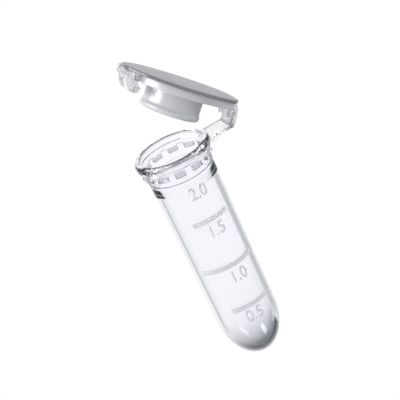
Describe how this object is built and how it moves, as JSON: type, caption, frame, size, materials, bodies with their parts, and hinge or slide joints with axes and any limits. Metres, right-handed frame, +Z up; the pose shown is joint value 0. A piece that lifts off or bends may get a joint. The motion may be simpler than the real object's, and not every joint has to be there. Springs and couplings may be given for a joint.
{
  "type": "microcentrifuge tube",
  "caption": "Clear microcentrifuge tube with a round bottom, graduations and an attached snap lid with plug, latch hook and folding strap.",
  "frame": {"origin": "on the tube's axis, in the plane of the collar's underside, where the tube rests on a rack", "axes": "+Z up along the tube, +X towards the lid's hinge, -Y towards the graduations"},
  "size_m": [0.0191, 0.0156, 0.0552],
  "materials": {
    "clear_plastic": "clear glossy polypropylene",
    "satin_plastic": "natural polypropylene, satin",
    "frosted_plastic": "natural polypropylene, frosted writing face",
    "marking": "frosted raised graduation"
  },
  "bodies": {
    "tube": {"tube_wall": "clear_plastic", "seal_band": "clear_plastic", "neck": "clear_plastic", "collar": "clear_plastic", "rim": "clear_plastic", "bar_1_5": "marking", "bar_1_0": "marking", "bar_0_5": "marking"},
    "leaf": {"strap_leaf": "clear_plastic"},
    "fold": {"film_hinge": "clear_plastic"},
    "lid": {"lid_plate": "frosted_plastic", "lid_skirt": "satin_plastic", "plug": "satin_plastic", "sealing_bead": "satin_plastic", "strap_arm": "satin_plastic", "lug_near": "satin_plastic", "lug_far": "satin_plastic", "thumb_tab": "frosted_plastic"},
    "latch": {"latch_hook": "clear_plastic"}
  },
  "joints": [
    {"name": "lid_close", "type": "hinge", "parent": "tube", "child": "fold", "pos_m": [0.01269, 0, 0.00083], "axis": [0, 1, 0], "range_deg": [-44.64, 0]},
    {"name": "leaf_bend", "type": "hinge", "parent": "tube", "child": "leaf", "pos_m": [0.0063, 0, 0.0007], "axis": [0, 1, 0], "range_deg": [0, 31.83]},
    {"name": "lid_open", "type": "hinge", "parent": "fold", "child": "lid", "pos_m": [0.01005, 0, 0.00185], "axis": [0, 1, 0], "range_deg": [0, 134]},
    {"name": "latch_flex", "type": "hinge", "parent": "lid", "child": "latch", "pos_m": [-0.00093, 0, 0.01776], "axis": [0, 1, 0], "range_deg": [0, 8], "stiffness_Nm_per_rad": 0.002}
  ],
  "couplings": [
    {"joint": "leaf_bend", "follows": "lid_close", "ratio": -0.71278}
  ]
}
